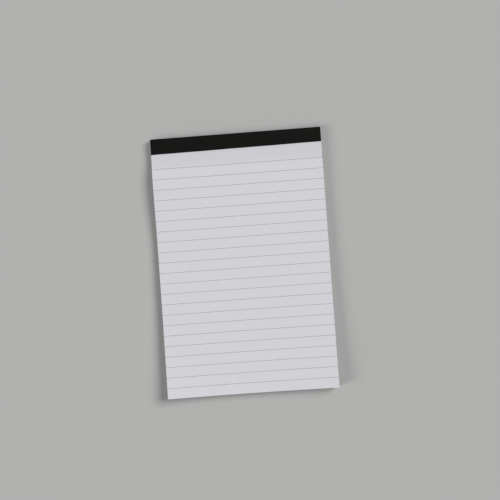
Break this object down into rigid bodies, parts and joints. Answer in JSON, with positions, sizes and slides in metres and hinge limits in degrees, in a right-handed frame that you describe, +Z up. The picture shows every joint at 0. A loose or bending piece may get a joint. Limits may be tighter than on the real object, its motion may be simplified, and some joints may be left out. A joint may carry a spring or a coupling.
{
  "type": "legal pad",
  "caption": "Top-bound pad of white ruled tear-off sheets on a chipboard back, its head bound in folded black paper tape.",
  "frame": {"origin": "middle of the underside, on the plane that the tape's back flap rests on", "axes": "+Z up out of the writing face, +Y along the sheets towards the bound head, +X to the right as the pad is read"},
  "size_m": [0.14, 0.2132, 0.0112],
  "materials": {
    "paper": "uncoated white writing paper",
    "chipboard": "grey-brown recycled chipboard with flecks",
    "tape": "matt black paper binding tape with a fine cloth grain",
    "wire": "galvanised stitching wire",
    "ink": "thin grey printing ink"
  },
  "bodies": {
    "root": {"page_block": "paper", "backing_board": "chipboard", "binding_tape": "tape", "staples": "wire", "ruled_lines": "ink"}
  },
  "joints": []
}
